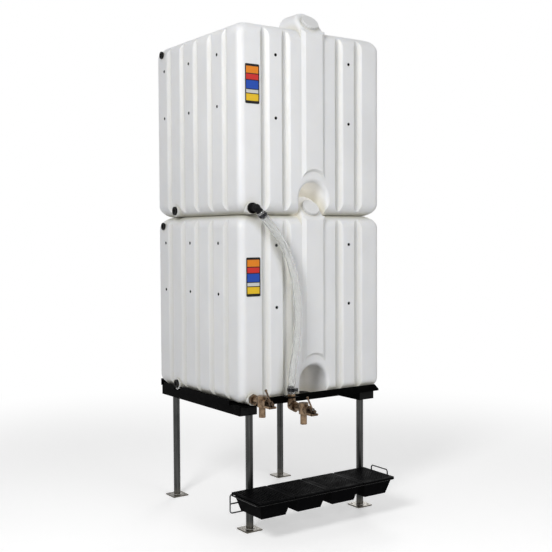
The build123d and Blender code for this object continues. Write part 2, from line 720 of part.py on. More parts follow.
def hose_elbow():
    """Black elbow that turns the outlet into the hose's first run, with its barb inside the hose."""
    z = upper_outlet_z()
    face = TANK_FRONT - BOSS_PROUD - BULKHEAD_FLANGE_THICKNESS
    centre = Vector(OUTLET_X, HOSE_PLANE_Y, z)
    hose_end = Vector(*hose_points()[0])
    heading = hose_heading(0, 1)
    tip = hose_end + heading * BARB_LENGTH
    barb = HOSE_BORE - 2 * BARB_FIT
    elbow = rod((OUTLET_X, face, z), centre, ELBOW_COLLAR)
    elbow += Pos(centre) * Sphere(ELBOW_DIAMETER / 2)
    elbow += rod(centre, hose_end, ELBOW_COLLAR)
    elbow += rod(hose_end - heading, tip, barb)
    elbow -= rod((OUTLET_X, face, z), centre, WATERWAY)
    elbow -= Pos(centre) * Sphere(WATERWAY / 2)
    return elbow - rod(centre, tip, WATERWAY)


def hose_clamp(end_point, heading, side_way):
    """Band round the hose with its screw housing and wing screw."""
    start = end_point + heading * CLAMP_SETBACK
    stop = start + heading * CLAMP_BAND_WIDTH
    inner = HOSE_DIAMETER + 2 * CLAMP_GAP
    outer = inner + 2 * CLAMP_BAND_THICKNESS
    band = rod(start, stop, outer) - rod(start, stop, inner)
    middle = (start + stop) * 0.5
    across = Plane(origin=middle, x_dir=side_way, z_dir=heading)
    seat = outer / 2 + CLAMP_HOUSING / 2 - CLAMP_BAND_THICKNESS / 2
    housing = across * Pos(seat, 0, 0) * Box(CLAMP_HOUSING, CLAMP_SCREW_LENGTH / 2, CLAMP_BAND_WIDTH)
    housing -= rod(start, stop, inner)
    screw_way = across.y_dir
    axis_point = middle + across.x_dir * seat
    reach = CLAMP_SCREW_LENGTH / 2
    bore = rod(axis_point - screw_way * reach, axis_point + screw_way * reach, CLAMP_SCREW_DIAMETER)
    screw_diameter = CLAMP_SCREW_DIAMETER - 2 * THREAD_FIT
    screw = rod(axis_point - screw_way * reach, axis_point + screw_way * reach, screw_diameter)
    wing_place = Plane(origin=axis_point + screw_way * reach, x_dir=heading, z_dir=screw_way)
    wing = wing_place * Pos(0, 0, CLAMP_WING / 4) * Box(CLAMP_WING, CLAMP_WING_THICKNESS, CLAMP_WING / 2)
    return [band + housing - bore, screw + wing]


def nipple_seat_z():
    """Top of the bracket plate, where the hose nipple's hexagon sits."""
    return DECK_HEIGHT + HOSE_RISE - NIPPLE_HEX_HEIGHT


def hose_nipple():
    seat = nipple_seat_z()
    hose_end = seat + NIPPLE_HEX_HEIGHT
    top = hose_end + BARB_LENGTH
    bottom = seat - NIPPLE_SHANK
    nipple = hex_bar((HOSE_X, HOSE_PLANE_Y, seat), (HOSE_X, HOSE_PLANE_Y, hose_end), NIPPLE_HEX)
    nipple += rod((HOSE_X, HOSE_PLANE_Y, hose_end), (HOSE_X, HOSE_PLANE_Y, top), HOSE_BORE - 2 * BARB_FIT)
    nipple += rod((HOSE_X, HOSE_PLANE_Y, bottom), (HOSE_X, HOSE_PLANE_Y, seat), HOSE_BORE - 2 * BARB_FIT)
    return nipple - rod((HOSE_X, HOSE_PLANE_Y, bottom), (HOSE_X, HOSE_PLANE_Y, top), WATERWAY)


def faucet_bracket():
    """Plate that reaches from the front lip and carries the second faucet's pipework."""
    seat = nipple_seat_z()
    back = lip_line_y(-1) - ANGLE_THICKNESS
    across = (HOSE_X - BRACKET_WIDTH / 2, HOSE_X + BRACKET_WIDTH / 2)
    plate = block(across, (HOSE_PLANE_Y - BRACKET_REACH, back), (seat - BRACKET_THICKNESS, seat))
    plate += block(across, (back - BRACKET_THICKNESS, back), (RAIL_TOP, seat - BRACKET_THICKNESS))
    return plate - rod((HOSE_X, HOSE_PLANE_Y, RAIL_TOP), (HOSE_X, HOSE_PLANE_Y, seat), HOSE_BORE)


def second_axis_z():
    return nipple_seat_z() - BRACKET_THICKNESS - LOWER_ELBOW_DROP


def second_inlet_y():
    return HOSE_PLANE_Y - LOWER_ELBOW_REACH


def feed_elbow():
    """Brass elbow under the bracket, from the nipple down and forward to the second faucet."""
    top = nipple_seat_z() - BRACKET_THICKNESS
    z = second_axis_z()
    centre = (HOSE_X, HOSE_PLANE_Y, z)
    mouth = (HOSE_X, second_inlet_y(), z)
    elbow = rod((HOSE_X, HOSE_PLANE_Y, top), centre, LOWER_ELBOW_DIAMETER)
    elbow += Pos(*centre) * Sphere(LOWER_ELBOW_DIAMETER / 2)
    elbow += rod(centre, mouth, LOWER_ELBOW_DIAMETER)
    elbow -= rod((HOSE_X, HOSE_PLANE_Y, top), (HOSE_X, HOSE_PLANE_Y, top - NIPPLE_SHANK), HOSE_BORE)
    elbow -= rod((HOSE_X, HOSE_PLANE_Y, top), centre, WATERWAY)
    elbow -= Pos(*centre) * Sphere(WATERWAY / 2)
    return elbow - rod(centre, mouth, WATERWAY)


# Faucets: local frame with the inlet face at the origin, forward along -Y
def faucet_body(shank):
    """Cast body with a waterway, valve seat and spout; the shank is the thread behind the hexagon."""
    body = hex_bar((0, 0, 0), (0, -FAUCET_HEX_LENGTH, 0), FAUCET_HEX)
    if shank > 0:
        body += rod((0, shank, 0), (0, 0, 0), OUTLET_BORE - 2 * THREAD_FIT)
    barrel_y = -FAUCET_BARREL_AT
    body += rod((0, -FAUCET_HEX_LENGTH, 0), (0, barrel_y, 0), FAUCET_NECK)
    body += rod((0, barrel_y, -FAUCET_BARREL_FOOT), (0, barrel_y, FAUCET_BARREL_TOP), FAUCET_BARREL)
    body += rod((0, barrel_y, 0), (0, -FAUCET_FACE_AT, 0), FAUCET_FACE_DIAMETER)
    body += rod((0, barrel_y, 0), (0, barrel_y, -FAUCET_SPOUT_DROP), FAUCET_SPOUT)
    body -= rod((0, shank, 0), (0, -FAUCET_SEAT_AT, 0), WATERWAY)
    body -= rod((0, -FAUCET_SEAT_AT, 0), (0, -FAUCET_FACE_AT, 0), FAUCET_CHAMBER)
    return body - rod((0, barrel_y, 0), (0, barrel_y, -FAUCET_SPOUT_DROP), FAUCET_SPOUT_BORE)


def yoke_inner():
    return LEVER_WIDTH / 2 + LEVER_SIDE_GAP


def faucet_bonnet():
    """Hexagon nut on the front of the body, with a yoke of two arms that carries the lever's pin."""
    face = -FAUCET_FACE_AT
    front = face - BONNET_LENGTH
    back = face + BONNET_SPIGOT
    bonnet = hex_bar((0, face, 0), (0, front, 0), BONNET_HEX)
    bonnet += rod((0, back, 0), (0, face, 0), FAUCET_CHAMBER - 2 * THREAD_FIT)
    y, z = -LEVER_PIVOT_AT, -LEVER_PIVOT_DROP
    for sign in (-1, 1):
        arm_x = sorted((sign * yoke_inner(), sign * (yoke_inner() + YOKE_THICKNESS)))
        bonnet += block(arm_x, (y, face), (z - YOKE_HEIGHT / 2, z + YOKE_HEIGHT / 2))
        bonnet += rod((arm_x[0], y, z), (arm_x[1], y, z), YOKE_HEIGHT)
    reach = yoke_inner() + YOKE_THICKNESS
    bonnet -= rod((-reach, y, z), (reach, y, z), PIN_DIAMETER + 2 * PIN_FIT)
    return bonnet - rod((0, back, 0), (0, front, 0), STEM_DIAMETER + 2 * STEM_FIT)


def stem_head_at():
    """Back of the stem's head, just ahead of the leaning lever."""
    lean = math.radians(LEVER_LEAN)
    rise = LEVER_PIVOT_DROP - STEM_HEAD / 2
    return LEVER_PIVOT_AT - rise * math.tan(lean) + LEVER_THICKNESS / 2 / math.cos(lean) + STEM_HEAD_GAP


def stem_and_head():
    """Valve disc, stem and the head that the lever draws, turned from one bar."""
    seat = -FAUCET_SEAT_AT - STEM_SEAT_GAP
    head = -stem_head_at()
    stem = rod((0, seat, 0), (0, seat - STEM_DISC_THICKNESS, 0), STEM_DISC)
    stem += rod((0, seat, 0), (0, head, 0), STEM_DIAMETER)
    return stem + rod((0, head, 0), (0, head - STEM_HEAD_LENGTH, 0), STEM_HEAD)


def return_spring():
    """Coil round the stem, standing on the valve disc; its gap to the bonnet is the stem's travel."""
    foot = FAUCET_SEAT_AT + STEM_SEAT_GAP + STEM_DISC_THICKNESS + SPRING_WIRE / 2
    head = FAUCET_FACE_AT - BONNET_SPIGOT - STEM_TRAVEL - STEM_SEAT_GAP - SPRING_WIRE / 2
    radius = (SPRING_DIAMETER - SPRING_WIRE) / 2
    coil = Helix((head - foot) / SPRING_TURNS, head - foot, radius)
    wire = sweep(Plane(origin=coil @ 0, z_dir=coil % 0) * Circle(SPRING_WIRE / 2), path=coil)
    return Pos(0, -foot, 0) * Rot(90, 0, 0) * wire


def lever_slot():
    """Start and end of the lever's slot, which clears the stem over the whole swing."""
    starts, ends = [], []
    for degrees in (LEVER_LEAN, LEVER_LEAN - LEVER_SWING):
        lean = math.radians(degrees)
        skew = LEVER_THICKNESS / 2 * math.sin(lean)
        starts.append((LEVER_PIVOT_DROP - STEM_DIAMETER / 2 - skew) / math.cos(lean))
        ends.append((LEVER_PIVOT_DROP + STEM_DIAMETER / 2 + skew) / math.cos(lean))
    return min(starts) - LEVER_SLOT_GAP, max(ends) + LEVER_SLOT_GAP


def lever():
    """Forked handle on the yoke's pin, leaning back over the stem, which passes through its fork."""
    half = LEVER_WIDTH / 2
    y, z = -LEVER_PIVOT_AT, -LEVER_PIVOT_DROP
    lean = math.radians(LEVER_LEAN)
    arm = Plane(origin=(0, y, z), x_dir=(1, 0, 0), z_dir=(0, math.sin(lean), math.cos(lean)))
    start, end = lever_slot()
    handle = extrude(arm * Rectangle(LEVER_WIDTH, LEVER_THICKNESS), end + LEVER_FORK_END)
    handle += rod((-half, y, z), (half, y, z), YOKE_HEIGHT)
    tip = arm.origin + arm.z_dir * LEVER_LENGTH
    handle += rod(arm.origin + arm.z_dir * (end + LEVER_FORK_END / 2), tip, LEVER_ROD)
    handle += Pos(*tip) * Sphere(LEVER_GRIP / 2)
    slot_width = STEM_DIAMETER + 2 * LEVER_SLOT_GAP
    handle -= arm * Pos(0, 0, (start + end) / 2) * Box(slot_width, 2 * YOKE_HEIGHT, end - start)
    return handle - rod((-half, y, z), (half, y, z), PIN_DIAMETER + 2 * PIN_FIT)


def lever_pin():
    reach = yoke_inner() + YOKE_THICKNESS
    y, z = -LEVER_PIVOT_AT, -LEVER_PIVOT_DROP
    pin = rod((-reach, y, z), (reach, y, z), PIN_DIAMETER)
    for sign in (-1, 1):
        pin += rod((sign * reach, y, z), (sign * (reach + PIN_HEAD_THICKNESS), y, z), PIN_HEAD)
    return pin


def faucet_places():
    return {
        "first": Pos(OUTLET_X, TANK_FRONT - BOSS_PROUD, DECK_HEIGHT + OUTLET_HEIGHT),
        "second": Pos(HOSE_X, second_inlet_y(), second_axis_z()),
    }


# Drip trays on their wire rack
def rack_wire_z():
    return TRAY_TOP_Z - TRAY_RIM_THICKNESS - RACK_SEAT_GAP - RACK_WIRE / 2


def fence_y():
    """Middle of the upright wires, just ahead of the clamps round the front legs."""
    leg_front = -LEG_SPAN_Y / 2 - LEG_DIAMETER / 2
    return leg_front - RACK_CLAMP_THICKNESS - 2 * RACK_CLAMP_GAP - RACK_WIRE / 2


def tray_centre_y():
    back_wire = fence_y() - RACK_WIRE
    return back_wire - tray_wire_reach()


def tray_wire_reach():
    """From the tray's middle to the wires under its front and back rims."""
    return TRAY_DEPTH / 2 - TRAY_RIM + RACK_SEAT_GAP + RACK_WIRE / 2


def tray_centre_x(index):
    return TRAY_ROW_CENTRE_X + (index - (TRAY_COUNT - 1) / 2) * TRAY_PITCH


def tapered_pan(width, depth, height):
    """Pan solid hanging from z = 0, narrower at the foot by the tray's draft."""
    slope = math.degrees(math.atan(TRAY_DRAFT / TRAY_HEIGHT))
    return extrude(Rectangle(width, depth), -height, taper=slope)


def grate_seat():
    """Width and depth of the shallow step that the grate lies in."""
    inset = 2 * (TRAY_RIM + TRAY_WALL - GRATE_SEAT_LEDGE)
    return TRAY_WIDTH - inset, TRAY_DEPTH - inset


def drip_tray(index):
    body_width = TRAY_WIDTH - 2 * TRAY_RIM
    body_depth = TRAY_DEPTH - 2 * TRAY_RIM
    rim = Pos(0, 0, -TRAY_RIM_THICKNESS / 2) * Box(TRAY_WIDTH, TRAY_DEPTH, TRAY_RIM_THICKNESS)
    rim = fillet(rim.edges().filter_by(Axis.Z), TRAY_RIM)
    tray = rim + tapered_pan(body_width, body_depth, TRAY_HEIGHT)
    tray -= tapered_pan(body_width - 2 * TRAY_WALL, body_depth - 2 * TRAY_WALL, TRAY_HEIGHT - TRAY_WALL)
    seat_width, seat_depth = grate_seat()
    tray -= Pos(0, 0, -GRATE_SEAT_DEPTH / 2) * Box(seat_width, seat_depth, GRATE_SEAT_DEPTH)
    return Pos(tray_centre_x(index), tray_centre_y(), TRAY_TOP_Z) * tray


def grate(index):
    seat_width, seat_depth = grate_seat()
    width = seat_width - 2 * GRATE_CLEARANCE
    depth = seat_depth - 2 * GRATE_CLEARANCE
    hole_x = (width - 2 * GRATE_BORDER - (GRATE_HOLES_X - 1) * GRATE_BAR) / GRATE_HOLES_X
    hole_y = (depth - 2 * GRATE_BORDER - (GRATE_HOLES_Y - 1) * GRATE_BAR) / GRATE_HOLES_Y
    grid = GridLocations(hole_x + GRATE_BAR, hole_y + GRATE_BAR, GRATE_HOLES_X, GRATE_HOLES_Y)
    face = Rectangle(width, depth) - grid * Rectangle(hole_x, hole_y)
    plate = extrude(face, GRATE_THICKNESS)
    return Pos(tray_centre_x(index), tray_centre_y(), TRAY_TOP_Z - GRATE_SEAT_DEPTH) * plate


def rack_half_x():
    """From the row's middle to the end wires, just outside the end trays' rims."""
    return ((TRAY_COUNT - 1) * TRAY_PITCH + TRAY_WIDTH) / 2 + RACK_SEAT_GAP + RACK_WIRE / 2


def wire_loop(corners):
    """Closed wire rectangle with rounded corners."""
    route = FilletPolyline(*corners, radius=RACK_CORNER, close=True)
    section = Plane(origin=route @ 0, z_dir=route % 0) * Circle(RACK_WIRE / 2)
    return sweep(section, path=route)


def rack_ends():
    return TRAY_ROW_CENTRE_X - rack_half_x(), TRAY_ROW_CENTRE_X + rack_half_x()


def rack_fence():
    """Upright wire loop with a middle rung, held on the front legs."""
    left, right = rack_ends()
    top = rack_wire_z()
    foot = top - RACK_FENCE_DROP
    y = fence_y()
    fence = wire_loop([(left, y, top), (right, y, top), (right, y, foot), (left, y, foot)])
    return fence + rod((left, y, rung_z()), (right, y, rung_z()), RACK_WIRE)


def tray_frame():
    """Level wire frame under the tray rims, welded along the fence, with a raised loop at its right end."""
    left, right = rack_ends()
    top = rack_wire_z()
    middle = tray_centre_y()
    back = middle + tray_wire_reach()
    front = middle - tray_wire_reach()
    frame = wire_loop([(left, back, top), (right, back, top), (right, front, top), (left, front, top)])
    for index in range(TRAY_COUNT - 1):
        x = (tray_centre_x(index) + tray_centre_x(index + 1)) / 2
        frame += rod((x, back, top), (x, front, top), RACK_WIRE)
    near = middle - RACK_LOOP_LENGTH / 2
    far = middle + RACK_LOOP_LENGTH / 2
    crest = top + RACK_LOOP_RISE
    loop = [(right, near, top), (right, near, crest), (right, far, crest), (right, far, top)]
    return frame + wire_rod(loop, RACK_CORNER, RACK_WIRE)


def rung_z():
    return rack_wire_z() - RACK_FENCE_DROP / 2


def rack_clamps():
    """Bands round the two front legs, each with two saddles that hold the fence's middle rung."""
    clamps = []
    z = rung_z()
    inner = LEG_DIAMETER + 2 * RACK_CLAMP_GAP
    outer = inner + 2 * RACK_CLAMP_THICKNESS
    for side in SIDES.values():
        x, y = leg_centre(side, -1)
        span = ((x, y, z - RACK_CLAMP_HEIGHT / 2), (x, y, z + RACK_CLAMP_HEIGHT / 2))
        clamp = rod(*span, outer)
        middle = x - side * RACK_SADDLE_INSET
        saddle_x = (middle - RACK_SADDLE_WIDTH / 2, middle + RACK_SADDLE_WIDTH / 2)
        for sign in (-1, 1):
            near = z + sign * (RACK_WIRE / 2 + RACK_CLAMP_GAP)
            saddle_z = sorted((near, near + sign * RACK_SADDLE_HEIGHT))
            clamp += block(saddle_x, (fence_y() - RACK_WIRE / 2, y), saddle_z)
        clamps.append(clamp - rod(*span, inner))
    return clamps


# Every node of the assembly
def at_each_tank(make):
    """One copy of a fitting at each tank, as separate solids."""
    return [Pos(0, 0, floor) * make() for floor in TANK_FLOORS.values()]


def stand_nodes():
    nodes = {
        "front_rail": front_rail(),
        "rear_rail": rear_rail(),
        "deck_bars": deck_bars(),
        "rail_end_plugs": rail_end_plugs(),
    }
    for name, side in SIDES.items():
        nodes[f"side_rail_{name}"] = side_rail(side)
        nodes[f"side_lip_{name}"] = side_lip(side)
        for end_name, end in (("front", -1), ("rear", 1)):
            nodes[f"leg_{end_name}_{name}"] = leg(side, end)
            nodes[f"base_plate_{end_name}_{name}"] = base_plate(side, end)
    return nodes


def tank_nodes():
    shell = tank_shell()
    nodes = {}
    for name, floor in TANK_FLOORS.items():
        place = Pos(0, 0, floor)
        nodes[f"{name}_tank"] = place * shell
        nodes[f"{name}_fill_cap"] = place * fill_cap()
        nodes[f"{name}_cap_gasket"] = place * cap_gasket()
    for group, places in insert_places().items():
        solids = []
        for floor in TANK_FLOORS.values():
            solids += [Pos(0, 0, floor) * insert(mouth, inward) for mouth, inward in places]
        nodes[f"{group}_inserts"] = solids
    nodes["drain_plugs"] = at_each_tank(drain_plug)
    nodes["vent_plugs"] = at_each_tank(vent_plug)
    nodes["label_cards"] = at_each_tank(label_card)
    return nodes


def feed_nodes():
    upper_end = Vector(*hose_points()[0])
    lower_end = Vector(*hose_points()[-1])
    return {
        "outlet_bulkhead": outlet_bulkhead(),
        "hose_elbow": hose_elbow(),
        "feed_hose": feed_hose(),
        "upper_hose_clamp": hose_clamp(upper_end, hose_heading(0, 1), (0, -1, 0)),
        "lower_hose_clamp": hose_clamp(lower_end, hose_heading(-1, -2), (0, -1, 0)),
        "hose_nipple": hose_nipple(),
        "faucet_bracket": faucet_bracket(),
        "feed_elbow": feed_elbow(),
    }


def faucet_nodes():
    shanks = {"first": FAUCET_SHANK_LENGTH, "second": 0.0}
    nodes = {}
    for name, place in faucet_places().items():
        nodes[f"{name}_faucet_body"] = place * faucet_body(shanks[name])
        nodes[f"{name}_faucet_bonnet"] = place * faucet_bonnet()
        nodes[f"{name}_faucet_stem"] = place * stem_and_head()
        nodes[f"{name}_faucet_spring"] = place * return_spring()
        nodes[f"{name}_faucet_lever"] = place * lever()
        nodes[f"{name}_faucet_pin"] = place * lever_pin()
    return nodes


def drip_nodes():
    nodes = {"rack_fence": rack_fence(), "tray_frame": tray_frame(), "rack_clamps": rack_clamps()}
    for index in range(TRAY_COUNT):
        nodes[f"drip_tray_{index + 1}"] = drip_tray(index)
        nodes[f"tray_grate_{index + 1}"] = grate(index)
    return nodes


def write_parts():
    os.makedirs("parts", exist_ok=True)
    groups = (stand_nodes, tank_nodes, feed_nodes, faucet_nodes, drip_nodes)
    for group in groups:
        for name, shape in group().items():
            solids = shape if isinstance(shape, list) else [shape]
            whole = Compound(children=[solid for piece in solids for solid in piece.solids()])
            export_step(whole, f"parts/{name}.step")


write_parts()
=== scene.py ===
# %% [markdown]
# # Two stacked gravity feed tanks on a stand
# The real object is a pair of ribbed polyethylene tanks on a black steel stand with pipe legs. A clear hose
# brings the upper tank's fluid down to a second faucet, and a wire rack in front holds four drip trays.
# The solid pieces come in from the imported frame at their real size. This lesson dresses them: it gives every
# piece a finish, draws the hose, the colour cards and the weld beads, and sets the light and the camera.

# %% Load the frame
import json
import math
import bmesh
import bpy
from mathutils import Matrix, Vector

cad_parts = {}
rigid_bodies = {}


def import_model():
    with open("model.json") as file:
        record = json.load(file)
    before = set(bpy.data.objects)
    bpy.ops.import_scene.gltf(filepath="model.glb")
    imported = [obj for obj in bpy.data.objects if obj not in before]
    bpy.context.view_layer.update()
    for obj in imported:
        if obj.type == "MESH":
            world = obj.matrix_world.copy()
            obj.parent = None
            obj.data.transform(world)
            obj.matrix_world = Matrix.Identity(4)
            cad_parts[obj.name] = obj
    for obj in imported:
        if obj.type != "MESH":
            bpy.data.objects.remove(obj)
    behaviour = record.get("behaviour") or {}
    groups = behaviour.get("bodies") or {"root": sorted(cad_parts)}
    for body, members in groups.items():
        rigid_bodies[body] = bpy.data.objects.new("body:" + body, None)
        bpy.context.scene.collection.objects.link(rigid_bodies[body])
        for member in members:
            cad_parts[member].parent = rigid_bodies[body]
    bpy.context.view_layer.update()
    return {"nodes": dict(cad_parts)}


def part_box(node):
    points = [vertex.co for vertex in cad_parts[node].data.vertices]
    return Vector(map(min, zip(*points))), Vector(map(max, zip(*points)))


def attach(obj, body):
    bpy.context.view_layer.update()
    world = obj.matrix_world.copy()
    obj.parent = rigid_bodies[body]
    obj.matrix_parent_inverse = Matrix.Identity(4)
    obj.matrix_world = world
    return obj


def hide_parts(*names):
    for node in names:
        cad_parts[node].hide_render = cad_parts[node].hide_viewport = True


for leftover in list(bpy.data.objects):
    bpy.data.objects.remove(leftover)
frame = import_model()
nodes = frame["nodes"]

# %% [markdown]
# ## A small kit for finishes
# Each finish is one Principled shader fed by a few texture nodes. Writing the nodes out by hand for a dozen
# finishes would bury the interesting choices, so one class holds the plain steps: add a node, read the
# object's own coordinates, stretch a noise, colour it, and turn it into bump. Object coordinates are in
# metres, because every piece sits at the origin with its place in its mesh. A scale of 100 is a centimetre.

# %% The finish class
class Finish:
    """A Principled shader with the nodes that feed it."""

    def __init__(self, name, **sockets):
        self.material = bpy.data.materials.new(name)
        self.material.use_nodes = True
        self.tree = self.material.node_tree
        self.shader = self.tree.nodes["Principled BSDF"]
        self.place = self.tree.nodes.new("ShaderNodeTexCoord").outputs["Object"]
        for socket, value in sockets.items():
            self.shader.inputs[socket.replace("_", " ")].default_value = value

    def add(self, kind, inputs=(), **settings):
        """A new node, with its settings and its inputs, each a value or another node's output."""
        node = self.tree.nodes.new(kind)
        for setting, value in settings.items():
            setattr(node, setting, value)
        for socket, value in dict(inputs).items():
            if isinstance(value, bpy.types.NodeSocket):
                self.tree.links.new(value, node.inputs[socket])
            else:
                node.inputs[socket].default_value = value
        return node

    def stretched(self, stretch):
        return self.add("ShaderNodeMapping", {"Vector": self.place, "Scale": stretch}).outputs["Vector"]

    def noise(self, scale, detail=4.0, stretch=(1.0, 1.0, 1.0), roughness=0.55):
        inputs = {"Vector": self.stretched(stretch), "Scale": scale}
        inputs |= {"Detail": detail, "Roughness": roughness}
        return self.add("ShaderNodeTexNoise", inputs).outputs["Fac"]

    def cells(self, scale, stretch=(1.0, 1.0, 1.0)):
        inputs = {"Vector": self.stretched(stretch), "Scale": scale}
        return self.add("ShaderNodeTexVoronoi", inputs).outputs["Distance"]

    def between(self, value, low, high, first, second):
        """Maps low..high onto first..second, and stops at both ends."""
        inputs = {"Value": value, "From Min": low, "From Max": high, "To Min": first, "To Max": second}
        return self.add("ShaderNodeMapRange", inputs).outputs["Result"]

    def math(self, operation, first, second):
        return self.add("ShaderNodeMath", {0: first, 1: second}, operation=operation).outputs["Value"]

    def mix(self, factor, first, second, blend="MIX"):
        node = self.add("ShaderNodeMix", data_type="RGBA", blend_type=blend)
        for socket, value in ((0, factor), (6, first), (7, second)):
            if isinstance(value, bpy.types.NodeSocket):
                self.tree.links.new(value, node.inputs[socket])
            elif socket == 0:
                node.inputs[0].default_value = value
            else:
                node.inputs[socket].default_value = (*value, 1.0)
        return node.outputs[2]

    def corners(self, distance):
        """Near 1 in the open and lower in corners and recesses."""
        node = self.add("ShaderNodeAmbientOcclusion", {"Distance": distance}, samples=8)
        return node.outputs["AO"]

    def along(self, axis):
        return self.add("ShaderNodeSeparateXYZ", {"Vector": self.place}).outputs[axis]

    def feed(self, socket, value):
        self.tree.links.new(value, self.shader.inputs[socket])

    def bump(self, *layers):
        """Stacks bump layers, each a height, a strength and a depth in metres."""
        normal = None
        for height, strength, depth in layers:
            inputs = {"Height": height, "Strength": strength, "Distance": depth}
            if normal is not None:
                inputs["Normal"] = normal
            normal = self.add("ShaderNodeBump", inputs).outputs["Normal"]
        self.feed("Normal", normal)


def dress(finish, *names):
    """Gives the finish to CAD nodes by name."""
    for name in names:
        mesh = nodes[name].data
        mesh.materials.clear()
        mesh.materials.append(finish.material)
    print(finish.material.name, "on", len(names), "nodes")


# %% [markdown]
# ## The tanks
# The tanks are rotomoulded polyethylene: milky, a little translucent, never quite flat. Light enters the wall
# and comes out again nearby, so a touch of subsurface scattering softens the grooves. What crosses the whole
# tank and comes out in the arch is too far off for that, so a faint warm glow stands for it there. The skin
# copies the sandblasted mould, which the finest noise gives as bump, and a slow wave breaks up the sheen.

# %% Tank polyethylene
ARCH_HALF = 0.1
ARCH_BACK = -0.19
ARCH_EDGE = 0.02
ARCH_GLOW = 0.2


def tank_finish():
    tank = Finish("tank_poly", Subsurface_Weight=0.5, Subsurface_Scale=0.008, IOR=1.5)
    tank.shader.inputs["Subsurface Radius"].default_value = (1.0, 0.95, 0.85)
    tank.shader.inputs["Emission Color"].default_value = (1.0, 0.94, 0.84, 1.0)
    from_middle = tank.math("ABSOLUTE", tank.along("X"), 0.0)
    across = tank.between(from_middle, ARCH_HALF - ARCH_EDGE, ARCH_HALF, ARCH_GLOW, 0.0)
    inward = tank.between(tank.along("Y"), ARCH_BACK, ARCH_BACK + ARCH_EDGE, 1.0, 0.0)
    deep = tank.between(tank.corners(0.12), 0.3, 0.75, 1.0, 0.0)
    tank.feed("Emission Strength", tank.math("MULTIPLY", tank.math("MULTIPLY", across, inward), deep))
    cloud = tank.between(tank.noise(3.5, 3.0), 0.3, 0.7, 0.0, 1.0)
    colour = tank.mix(cloud, (0.80, 0.805, 0.815), (0.86, 0.865, 0.87))
    # Painted shade: grooves, the arch and the joint between the tanks turn warm grey, darker where more
    # enclosed.
    open_sky = tank.between(tank.corners(0.05), 0.5, 0.97, 0.0, 1.0)
    colour = tank.mix(open_sky, (0.60, 0.59, 0.53), colour)
    tank.feed("Base Color", colour)
    tank.feed("Roughness", tank.between(tank.noise(40.0), 0.3, 0.7, 0.36, 0.5))
    tank.bump((tank.noise(7.0, 2.0), 0.25, 0.004), (tank.noise(420.0, 2.0), 0.1, 0.0006))
    return tank


tank_poly = tank_finish()
dress(tank_poly, "lower_tank", "upper_tank")


# %% [markdown]
# The fill caps are moulded in a greyer, harder plastic, and each seals on a rubber ring. Only a sliver of the
# ring shows between cap and neck, but from above it would be missed.

# %% Caps and gaskets
def cap_finish():
    cap = Finish("cap_poly", IOR=1.5)
    # Painted shade: the cap goes darker grey in its flutes and other tight corners.
    cap.feed("Base Color", cap.mix(cap.corners(0.01), (0.46, 0.46, 0.44), (0.72, 0.725, 0.725)))
    cap.feed("Roughness", cap.between(cap.noise(90.0), 0.3, 0.7, 0.28, 0.42))
    cap.bump((cap.noise(700.0, 2.0), 0.12, 0.0004))
    return cap


def gasket_finish():
    gasket = Finish("gasket_rubber")
    gasket.feed("Base Color", gasket.mix(gasket.noise(200.0), (0.012, 0.012, 0.012), (0.03, 0.03, 0.03)))
    gasket.feed("Roughness", gasket.between(gasket.noise(500.0), 0.3, 0.7, 0.6, 0.8))
    gasket.bump((gasket.noise(900.0), 0.2, 0.0003))
    return gasket


dress(cap_finish(), "lower_fill_cap", "upper_fill_cap")
dress(gasket_finish(), "lower_cap_gasket", "upper_cap_gasket")


# %% [markdown]
# ## The stand
# The legs are bare steel pipe. Drawing the pipe leaves faint lengthwise streaks, which a noise stretched
# along Z gives to colour and roughness. Heat from welding leaves a warm tint just above each base plate.

# %% Leg steel
WELD_TINT_HEIGHT = 0.045


def leg_finish():
    leg = Finish("leg_steel", Metallic=1.0)
    streaks = leg.noise(160.0, 5.0, stretch=(1.0, 1.0, 0.02))
    blotches = leg.noise(14.0, 4.0)
    drawn = leg.between(streaks, 0.35, 0.65, 0.0, 1.0)
    colour = leg.mix(drawn, (0.035, 0.036, 0.0355), (0.085, 0.086, 0.084))
    colour = leg.mix(leg.between(blotches, 0.5, 0.75, 0.0, 0.45), colour, (0.025, 0.026, 0.025))
    heat = leg.between(leg.along("Z"), 0.004, WELD_TINT_HEIGHT, 0.7, 0.0)
    colour = leg.mix(heat, colour, (0.16, 0.145, 0.12))
    leg.feed("Base Color", colour)
    leg.feed("Roughness", leg.between(streaks, 0.3, 0.7, 0.2, 0.42))
    leg.bump((streaks, 0.08, 0.0005), (leg.noise(900.0), 0.05, 0.0002))
    return leg


leg_steel = leg_finish()
CORNER_NAMES = [f"{end}_{side}" for end in ("front", "rear") for side in ("left", "right")]
dress(leg_steel, *[f"{piece}_{corner}" for piece in ("leg", "base_plate") for corner in CORNER_NAMES])


# %% [markdown]
# The rails, lips and deck bars wear one coat of deep black paint. Sprayed paint has a slight orange peel, and
# dust dulls it unevenly. A white studio would show in it as grey, so its specular level is kept very low.

# %% Black paint
def paint_finish():
    paint = Finish("frame_black", Specular_IOR_Level=0.008)
    dust = paint.between(paint.noise(30.0, 6.0), 0.5, 0.8, 0.0, 1.0)
    paint.feed("Base Color", paint.mix(dust, (0.0015, 0.0015, 0.0015), (0.005, 0.005, 0.0047)))
    paint.feed("Roughness", paint.between(paint.noise(60.0, 5.0), 0.3, 0.7, 0.22, 0.4))
    paint.bump((paint.noise(320.0, 2.0), 0.12, 0.0006))
    return paint


frame_black = paint_finish()
dress(frame_black, "front_rail", "rear_rail", "deck_bars", "faucet_bracket",
      *[f"{piece}_{side}" for piece in ("side_rail", "side_lip") for side in ("left", "right")])


# %% [markdown]
# ## Black plastic fittings
# The inserts, plugs, the outlet adapter and its elbow are moulded in satin black. A fine cell pattern stands
# for the spark-eroded grain of the mould.

